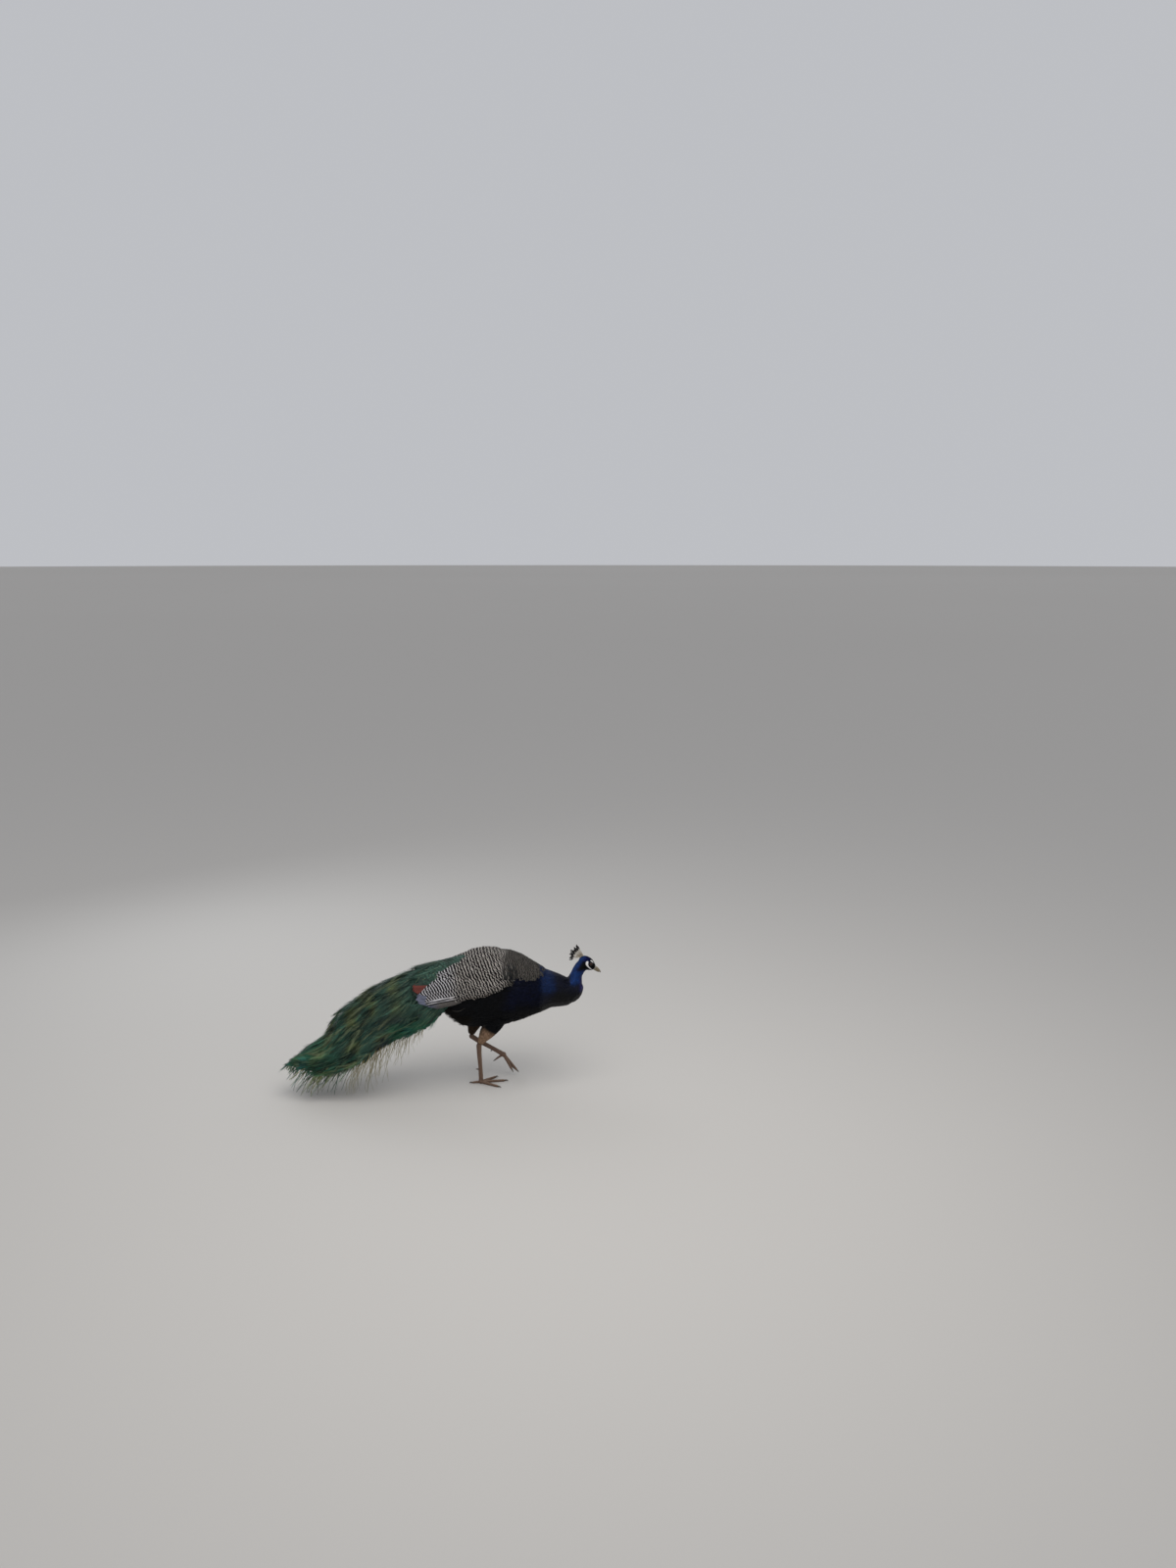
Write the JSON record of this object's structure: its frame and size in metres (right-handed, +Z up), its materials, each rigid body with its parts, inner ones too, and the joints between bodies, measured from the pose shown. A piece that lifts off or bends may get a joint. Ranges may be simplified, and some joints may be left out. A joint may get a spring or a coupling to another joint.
{
  "type": "peacock figure",
  "caption": "Life-size young peacock, walking, neck drawn down and forward, one foot on the floor and the other lifted, short train hanging behind",
  "frame": {"origin": "middle of the sole of the standing right foot, at floor level, under the middle plane of the body", "axes": "+X towards the bill, +Y towards the bird's left side, +Z up"},
  "size_m": [0.9932, 0.1946, 0.4524],
  "materials": {
    "blue": "glossy cobalt blue feathers, deeper on the breast",
    "belly": "dull blue-black feathers",
    "thigh": "short buff and dusky feathers",
    "barred": "buff-white feathers with wavy black bars",
    "rufous": "chestnut flight feathers",
    "train": "bronze-green feathers with loose barbs",
    "tail": "stiff brown tail feathers",
    "crest": "cream shafts with blackish fan-shaped tips",
    "leg": "scaly grey-brown skin",
    "horn": "smooth grey-yellow horn",
    "eye": "dark brown, wet and glossy"
  },
  "bodies": {
    "root": {"head": "blue", "neck_upper": "blue", "neck_lower": "blue", "breast": "blue", "trunk": "belly", "rump": "belly", "thigh_left": "thigh", "thigh_right": "thigh", "mantle": "barred", "wing_left_scapulars": "barred", "wing_left_coverts": "barred", "wing_left_secondaries": "barred", "wing_right_scapulars": "barred", "wing_right_coverts": "barred", "wing_right_secondaries": "barred", "wing_left_primaries": "rufous", "wing_right_primaries": "rufous", "train_cape": "train", "train_middle": "train", "train_lower": "train", "train_tips": "train", "tail_left": "tail", "tail_right": "tail", "crest": "crest", "shank_left": "leg", "shank_right": "leg", "toe_left_inner": "leg", "toe_left_middle": "leg", "toe_left_outer": "leg", "toe_left_hind": "leg", "toe_right_inner": "leg", "toe_right_middle": "leg", "toe_right_outer": "leg", "toe_right_hind": "leg", "bill_upper": "horn", "bill_lower": "horn", "spur_left": "horn", "spur_right": "horn", "claw_left_inner": "horn", "claw_left_middle": "horn", "claw_left_outer": "horn", "claw_left_hind": "horn", "claw_right_inner": "horn", "claw_right_middle": "horn", "claw_right_outer": "horn", "claw_right_hind": "horn", "eye_left": "eye", "eye_right": "eye"}
  },
  "joints": []
}
